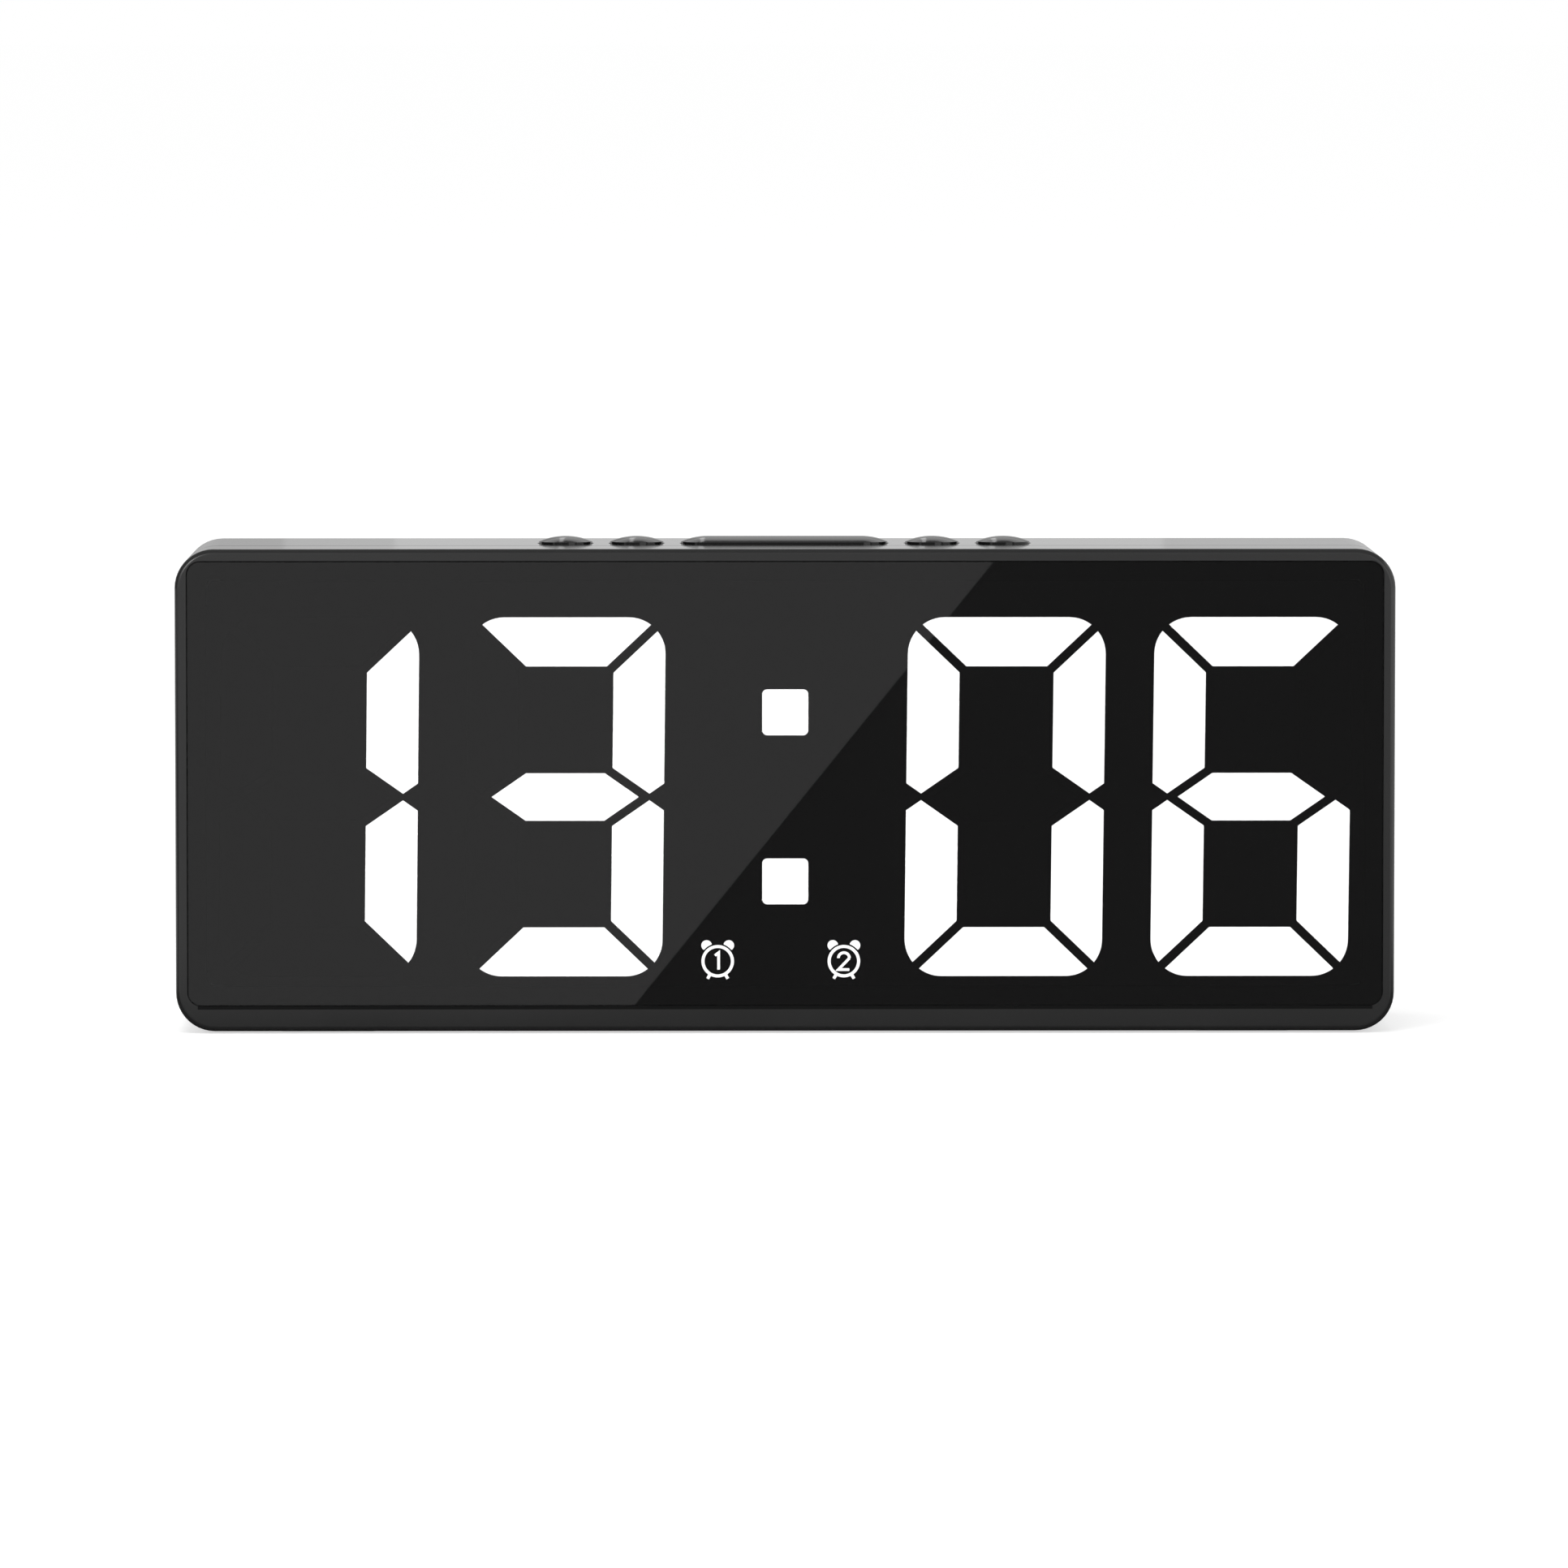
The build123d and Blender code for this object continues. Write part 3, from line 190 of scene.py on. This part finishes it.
def diffuser_material(name, colour, strength):
    """Translucent moulding that a lamp behind it fills with light."""
    material, tree, shader, coords = blank(name)
    shader.inputs["Specular IOR Level"].default_value = 0.5 if strength else 0.05
    cloud = noise(tree, coords, 0.004, 2.0)
    tint = blend(tree, cloud, tuple(0.97 * c for c in colour[:3]) + (1,), colour)
    tree.links.new(tint, shader.inputs["Base Color"])
    tree.links.new(spread(tree, cloud, 0.45, 0.6), shader.inputs["Roughness"])
    bumped(tree, shader, noise(tree, coords, 0.0003), 0.000003)
    if strength:
        tree.links.new(tint, shader.inputs["Emission Color"])
        shader.inputs["Emission Strength"].default_value = strength
    return material


def within(tree, coords, least, most):
    """One within a box's width and height, and nought outside them."""
    middle, reach = (least + most) / 2, (most - least) / 2
    shift = put(tree, "VectorMath", {0: coords, 1: middle}, operation="SUBTRACT")
    scaled = put(tree, "VectorMath", {0: shift.outputs[0], 1: reach}, operation="DIVIDE")
    ratios = put(tree, "VectorMath", {0: scaled.outputs[0]}, operation="ABSOLUTE")
    sides = put(tree, "SeparateXYZ", {0: ratios.outputs[0]}).outputs
    further = put(tree, "Math", {0: sides["X"], 1: sides["Z"]}, operation="MAXIMUM").outputs[0]
    return share_between(tree, further, 1.0, 1.001, 1.0, 0.0)


def front_material():
    """The front moulding, which inside its window is made matt and painted near black as shade."""
    material = surface("satin_black_front", grey(0.018), grey(0.021), (0.28, 0.32), polish=0.2)
    tree = material.node_tree
    shader = tree.nodes["Principled BSDF"]
    coords = put(tree, "TexCoord").outputs["Object"]
    least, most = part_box("light_box")
    share = within(tree, coords, least - WINDOW_MARGIN, most + WINDOW_MARGIN)
    black, rough = [shader.inputs[name].links[0].from_socket for name in ("Base Color", "Roughness")]
    # Painted shade: inside the window the moulding's colour is darkened to near black, and its roughness is
    # raised to full
    tree.links.new(blend(tree, share, black, grey(0.003)), shader.inputs["Base Color"])
    rough = put(tree, "Math", {0: rough, 1: share}, operation="MAXIMUM").outputs[0]
    tree.links.new(rough, shader.inputs["Roughness"])
    return material


def light_box_material():
    """White channels behind a face that is printed black, with black sides."""
    material = surface("white_light_box", grey(0.7), grey(0.78), (0.7, 0.8), shine=0.05)
    tree = material.node_tree
    shader = tree.nodes["Principled BSDF"]
    white = shader.inputs["Base Color"].links[0].from_socket
    coords = put(tree, "TexCoord").outputs["Object"]
    depth = put(tree, "SeparateXYZ", {0: coords}).outputs["Y"]
    print_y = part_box("light_box")[0].y + PRINT_DEPTH
    behind = share_between(tree, depth, print_y, print_y + PRINT_FADE, 0.0, 1.0)
    inserts = [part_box(name) for name in nodes if name.endswith(("_segments", "_diffuser"))]
    least = Vector([min(box[0][axis] for box in inserts) for axis in range(3)])
    most = Vector([max(box[1][axis] for box in inserts) for axis in range(3)])
    channels = within(tree, coords, least - WINDOW_MARGIN, most + WINDOW_MARGIN)
    share = put(tree, "Math", {0: behind, 1: channels}, operation="MULTIPLY").outputs[0]
    tree.links.new(blend(tree, share, grey(0.004), white), shader.inputs["Base Color"])
    return material


def board_material():
    """Green board with copper tracks under its lacquer."""
    material, tree, shader, coords = blank("lacquered_board")
    inputs = {"Vector": coords, "Scale": 210.0, "Randomness": 0.75}
    cells = put(tree, "TexVoronoi", inputs, feature="DISTANCE_TO_EDGE", distance="EUCLIDEAN")
    inputs = {"Value": cells.outputs["Distance"], "From Min": 0.03, "From Max": 0.06}
    track = put(tree, "MapRange", inputs).outputs["Result"]
    tint = blend(tree, track, (0.02, 0.16, 0.06, 1), (0.008, 0.07, 0.028, 1))
    tree.links.new(tint, shader.inputs["Base Color"])
    tree.links.new(spread(tree, noise(tree, coords, 0.006), 0.25, 0.4), shader.inputs["Roughness"])
    bumped(tree, shader, track, 0.00003, 0.6)
    return material


def metal_material(name, colour, roughness):
    """Plated metal with a faint drawn grain."""
    material, tree, shader, coords = blank(name)
    stretched = put(tree, "VectorMath", {0: coords, 1: (1, 12, 1)}, operation="MULTIPLY")
    lines = noise(tree, stretched.outputs[0], 0.0012, 4.0)
    dull = tuple(0.85 * c for c in colour[:3]) + (1,)
    tree.links.new(blend(tree, lines, dull, colour), shader.inputs["Base Color"])
    tree.links.new(spread(tree, lines, *roughness), shader.inputs["Roughness"])
    bumped(tree, shader, lines, 0.000004)
    shader.inputs["Metallic"].default_value = 1.0
    return material


def banded(name, node_name, axis, stops, roughness):
    """A surface whose colour and metal change in bands along one axis of a node's box."""
    material, tree, shader, coords = blank(name)
    ends = [corner[axis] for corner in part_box(node_name)]
    along = put(tree, "SeparateXYZ", {0: coords}).outputs[axis]
    share = put(tree, "MapRange", {"Value": along, "From Min": ends[0], "From Max": ends[1]})
    for socket, pick in (("Base Color", 1), ("Metallic", 2)):
        ramp = put(tree, "ValToRGB", {"Fac": share.outputs["Result"]})
        ramp.color_ramp.interpolation = "CONSTANT"
        elements = ramp.color_ramp.elements
        while len(elements) < len(stops):
            elements.new(0.5)
        for element, stop in zip(elements, stops):
            element.position = stop[0]
            element.color = stop[1] if pick == 1 else grey(stop[2])
        tree.links.new(ramp.outputs["Color"], shader.inputs[socket])
    scuff = noise(tree, coords, 0.005, 3.0)
    tree.links.new(spread(tree, scuff, *roughness), shader.inputs["Roughness"])
    bumped(tree, shader, noise(tree, coords, 0.0005), 0.000004)
    return material


def cell_material(i):
    """A cell's plain jacket with a pale ring by its plus end and bare metal at both ends."""
    name = f"battery_cell_{i}"
    steel, jacket, ring = (0.62, 0.61, 0.58, 1), (0.035, 0.06, 0.075, 1), (0.42, 0.44, 0.43, 1)
    stops = [(0, steel, 1), (0.02, jacket, 0), (0.78, ring, 0), (0.86, jacket, 0), (0.96, steel, 1)]
    if i == 2:
        stops = [(0, steel, 1), (0.04, jacket, 0), (0.14, ring, 0), (0.22, jacket, 0), (0.98, steel, 1)]
    return banded(f"jacket_of_{name}", name, 0, stops, (0.28, 0.42))


def capacitor_material():
    """A black sleeve with a bare aluminium top."""
    stops = [(0, (0.012, 0.013, 0.018, 1), 0), (0.9, (0.7, 0.7, 0.71, 1), 1)]
    return banded("sleeve_and_can", "board_capacitors", 1, stops, (0.3, 0.45))


def switch_material():
    """A black switch body under a metal cover."""
    stops = [(0, (0.012, 0.012, 0.012, 1), 0), (0.85, (0.66, 0.65, 0.62, 1), 1)]
    return banded("switch_body_and_cover", "key_switches", 2, stops, (0.3, 0.45))


materials = {
    "case_front": front_material(),
    "case_rear": surface("satin_black_rear", grey(0.014), grey(0.017), (0.3, 0.36), polish=0.2),
    "see_through_panel": panel_material(),
    "black_film": surface("printed_black_film", grey(0.003), grey(0.004), (0.5, 0.6), shine=0.05),
    "light_box_plastic": light_box_material(),
    "lit_diffuser": diffuser_material("lit_insert", grey(1.0), 11.0),
    "dark_diffuser": diffuser_material("unlit_insert", grey(0.004), 0),
    "circuit_board": board_material(),
    "chip_black": surface("chip_black", grey(0.01), grey(0.016), (0.4, 0.55), 0.0003, 0.000006),
    "lamp_white": surface("lamp_resin", (0.75, 0.7, 0.4, 1), (0.8, 0.76, 0.5, 1), (0.2, 0.3)),
    "bright_metal": metal_material("nickel_plate", (0.78, 0.75, 0.7, 1), (0.18, 0.3)),
    "screw_steel": metal_material("zinc_steel", (0.62, 0.61, 0.58, 1), (0.25, 0.4)),
    "connector_cream": surface("connector_cream", (0.62, 0.56, 0.42, 1), (0.68, 0.62, 0.48, 1), (0.4, 0.5)),
    "lead_red": surface("lead_red", (0.42, 0.01, 0.01, 1), (0.5, 0.015, 0.012, 1), (0.35, 0.45), 0.0008),
    "lead_black": surface("lead_black", grey(0.012), grey(0.02), (0.35, 0.45), 0.0008),
    "ribbon_grey": surface("ribbon_grey", grey(0.3), grey(0.36), (0.4, 0.5), 0.001),
    "buzzer_black": surface("buzzer_black", grey(0.012), grey(0.018), (0.4, 0.5)),
    "key_black": surface("gloss_black_key", grey(0.004), grey(0.005), (0.08, 0.12), 0.0006, 0.000002),
    "pad_rubber": surface("pad_rubber", grey(0.018), grey(0.03), (0.75, 0.9), 0.0006, 0.00002),
    "plunger_plastic": surface("plunger_plastic", grey(0.02), grey(0.03), (0.35, 0.45)),
    "tape_black": surface("tape_black", grey(0.003), grey(0.004), (0.7, 0.8), 0.0012, shine=0.05),
}

own_materials = {
    "board_capacitors": capacitor_material(),
    "key_switches": switch_material(),
}
for i in (1, 2, 3):
    own_materials[f"battery_cell_{i}"] = cell_material(i)

for name, obj in nodes.items():
    for slot in obj.material_slots:
        slot.material = own_materials.get(name) or materials[slot.material.name.split(".")[0]]


def tape_frame():
    """The tape, which stops a hair short of the panel, so that the panel's back shines evenly."""
    tape = bpy.data.objects.new("tape_frame", nodes["panel_tape"].data.copy())
    face_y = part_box("panel_tape")[0].y + TAPE_RELIEF
    for point in tape.data.vertices:
        point.co.y = max(point.co.y, face_y)
    tape.data.materials.clear()
    tape.data.materials.append(materials["tape_black"])
    bpy.context.scene.collection.objects.link(tape)
    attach(tape, "case")
    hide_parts("panel_tape")


tape_frame()


def seen_by_shine(tree):
    """One for camera, glossy and transmission rays, and nought for the light on the object."""
    path = put(tree, "LightPath").outputs
    inputs = {0: path["Is Camera Ray"], 1: path["Is Glossy Ray"]}
    either = put(tree, "Math", inputs, operation="MAXIMUM").outputs[0]
    inputs = {0: either, 1: path["Is Transmission Ray"]}
    return put(tree, "Math", inputs, operation="MAXIMUM").outputs[0]


def floor_material():
    """Pale matt floor that shows white and keeps the object's shadow."""
    material = bpy.data.materials.new("pale_floor")
    material.use_nodes = True
    tree = material.node_tree
    tree.nodes.clear()
    matt = put(tree, "BsdfDiffuse", {"Color": grey(FLOOR_GREY)})
    lift = put(tree, "Math", {0: seen_by_shine(tree), 1: FLOOR_LIFT}, operation="MULTIPLY")
    glow = put(tree, "Emission", {"Color": grey(1.0), "Strength": lift.outputs[0]})
    both = put(tree, "AddShader", {0: matt.outputs[0], 1: glow.outputs[0]})
    put(tree, "OutputMaterial", {"Surface": both.outputs[0]})
    return material


def card(name, corners, level):
    """A flat card of one grey with these corners, which only shines see."""
    mesh = bpy.data.meshes.new(name)
    mesh.from_pydata(corners, [], [tuple(range(len(corners)))])
    piece = bpy.data.objects.new(name, mesh)
    bpy.context.scene.collection.objects.link(piece)
    material = bpy.data.materials.new(name)
    material.use_nodes = True
    tree = material.node_tree
    tree.nodes.clear()
    glow = put(tree, "Emission", {"Color": grey(level), "Strength": 1.0})
    put(tree, "OutputMaterial", {"Surface": glow.outputs[0]})
    mesh.materials.append(material)
    piece.visible_camera = False
    piece.visible_diffuse = False
    piece.visible_volume_scatter = False
    piece.visible_shadow = False


bpy.ops.mesh.primitive_plane_add(size=2 * FLOOR_REACH)
floor = bpy.context.object
floor.name = "floor"
floor.data.materials.append(floor_material())

# Two cards on the floor before the clock, a grey and a dark one, meet along the line that the
# polished front shows as a slanting edge. A black strip lies under its lower edge and reaches under
# the clock, a painted shadow that the lower rounded edges reflect, and a dark card lies beside the
# grey one. Grey cards stand far behind, which the polished top shows, a dark one at the left and a
# bright one at the right. Dark ones hang over the clock and stand far before it. A bright band high
# behind gives each key its streak
CARD_Z = 0.0001
CARD_FAR = 1.6
CARD_SIDE = 0.2
# The black strip, a painted shadow, runs from this far under the clock to this far before it, where the
# cards on the floor begin
STRIP_NEAR = 0.01
STRIP_FAR = 0.034
GREY_LEVEL = 0.65
DARK_LEVEL = 0.175
BESIDE_LEVEL = 0.1
BESIDE_REACH = 0.9
BACK_Y = 1.2
BACK_STOPS = (-0.5, -0.112, -0.085, 0.103, 0.5)
BACK_HEIGHT = 0.6
BACK_LEVELS = (0.52, 0.6, 0.68, 0.6)
OVER_Z = 4.0
OVER_SIDE = 5.0
OVER_BACK = 4.5
OVER_LEVEL = 0.25
BEFORE_Y = -4.5
BEFORE_LEVEL = 0.4
LEFT_X = -1.2
LEFT_BACK = 0.8
LEFT_HEIGHT = 1.0
LEFT_LEVEL = 0.1
RIGHT_NEAR = (0.45, -1.95)
RIGHT_FAR = (1.3, -1.5)
RIGHT_HEIGHT = 0.6
RIGHT_LEVEL = 1.6
BAND_REACH = 4.5
BAND_HALF = 0.09
BAND_LEVEL = 2.0
BAND_LINE = ((-0.037, 0.908, 0.418), (-0.064, 0.716, 0.695))


def mirrored(point):
    """Where the camera's view of a point on the front meets the cards."""
    x, z = point
    step = (CAMERA_Z - CARD_Z) / (CAMERA_Z - z)
    return (CAMERA_X + step * (x - CAMERA_X), front_y + CAMERA_DISTANCE * (1 - step))


def on_divide(y):
    """The X of the dividing line on the floor."""
    (x_a, y_a), (x_b, y_b) = mirrored(DIVIDE_TOP), mirrored(DIVIDE_FOOT)
    return x_b + (x_a - x_b) * (y - y_b) / (y_a - y_b)


def lying(x_near, x_far, y_near, y_far):
    """Corners of a card on the floor, from its near and its far pair of X."""
    near = [(x, y_near, CARD_Z) for x in x_near]
    return near + [(x, y_far, CARD_Z) for x in reversed(x_far)]


near, far = front_y - STRIP_FAR, front_y - CARD_FAR
x_near, x_far = on_divide(near), on_divide(far)
sides = (-CARD_SIDE, CARD_SIDE)
beside = (-BESIDE_REACH, -CARD_SIDE)
card("grey_card", lying((-CARD_SIDE, x_near), (-CARD_SIDE, x_far), near, far), GREY_LEVEL)
card("black_card", lying((x_near, CARD_SIDE), (x_far, CARD_SIDE), near, far), DARK_LEVEL)
card("beside_card", lying(beside, beside, near, far), BESIDE_LEVEL)
# Painted shadow: a black card, seen only in gloss, under the clock and just before its front, which the
# lower edges reflect in place of the floor's shade
card("painted_shadow_strip", lying(sides, sides, front_y + STRIP_NEAR, near), 0.0)


def standing(x_range, y, z_range):
    """Corners of an upright card that spans X."""
    low_z, high_z = z_range
    return [(x, y, low_z) for x in x_range] + [(x, y, high_z) for x in reversed(x_range)]


for i, level in enumerate(BACK_LEVELS):
    card(f"back_card_{i}", standing(BACK_STOPS[i : i + 2], BACK_Y, (0, BACK_HEIGHT)), level)
foot = [(LEFT_X, y, 0) for y in (-LEFT_BACK, LEFT_BACK)]
card("left_card", foot + [(LEFT_X, y, LEFT_HEIGHT) for y in (LEFT_BACK, -LEFT_BACK)], LEFT_LEVEL)
foot = [(*RIGHT_NEAR, 0), (*RIGHT_FAR, 0)]
card("right_card", foot + [(x, y, RIGHT_HEIGHT) for x, y, _ in reversed(foot)], RIGHT_LEVEL)
wide = (-OVER_SIDE, OVER_SIDE)
card("before_card", standing(wide, BEFORE_Y, (0, OVER_Z)), BEFORE_LEVEL)
edge = [(x, BEFORE_Y, OVER_Z) for x in wide]
card("over_card", edge + [(x, OVER_BACK, OVER_Z) for x in reversed(wide)], OVER_LEVEL)
start, end = [BAND_REACH * Vector(point).normalized() for point in BAND_LINE]
across = BAND_HALF * (end - start).cross(start).normalized()
card("band", [start - across, start + across, end + across, end - across], BAND_LEVEL)

# The world gives even light from all round and shows white
world = bpy.data.worlds.new("studio")
bpy.context.scene.world = world
world.use_nodes = True
tree = world.node_tree
tree.nodes.clear()
inputs = {0: seen_by_shine(tree), 1: 1 - WORLD_LIGHT, 2: WORLD_LIGHT}
level = put(tree, "Math", inputs, operation="MULTIPLY_ADD").outputs[0]
shell = put(tree, "Background", {"Color": grey(1.0), "Strength": level})
put(tree, "OutputWorld", {"Surface": shell.outputs[0]})


def softbox(name, place, size, power, shines=False):
    """A soft lamp that points at the clock, which only shows in gloss when it shines."""
    data = bpy.data.lights.new(name, "AREA")
    data.shape = "RECTANGLE"
    data.size, data.size_y = size
    data.energy = power
    lamp = bpy.data.objects.new(name, data)
    lamp.location = place
    lamp.rotation_mode = "QUATERNION"
    lamp.rotation_quaternion = (Vector(LAMP_AIM) - Vector(place)).to_track_quat("-Z", "Y")
    lamp.visible_glossy = shines
    bpy.context.scene.collection.objects.link(lamp)


softbox("key_light", (-0.9, -1.9, 0.72), (0.4, 0.4), 10.0, shines=True)
softbox("top_light", (-0.3, -0.6, 2.1), (1.0, 1.0), 14.0)
softbox("side_light", (1.6, -1.4, 0.5), (0.3, 1.2), 8.0)

camera_data = bpy.data.cameras.new("camera")
place = Vector((CAMERA_X, front_y - CAMERA_DISTANCE, CAMERA_Z))
aim = front_middle + FRONT_AIM
camera_data.sensor_width = SENSOR
camera_data.lens = SENSOR * (aim - place).length * FRONT_PIXELS_PER_METRE / FRAME_PIXELS
camera_data.clip_start = 0.05
camera_data.clip_end = 200
camera = bpy.data.objects.new("camera", camera_data)
bpy.context.scene.collection.objects.link(camera)
camera.location = place
camera.rotation_mode = "QUATERNION"
camera.rotation_quaternion = (aim - place).to_track_quat("-Z", "Y")
bpy.context.scene.camera = camera

bpy.context.scene.view_settings.view_transform = "Standard"
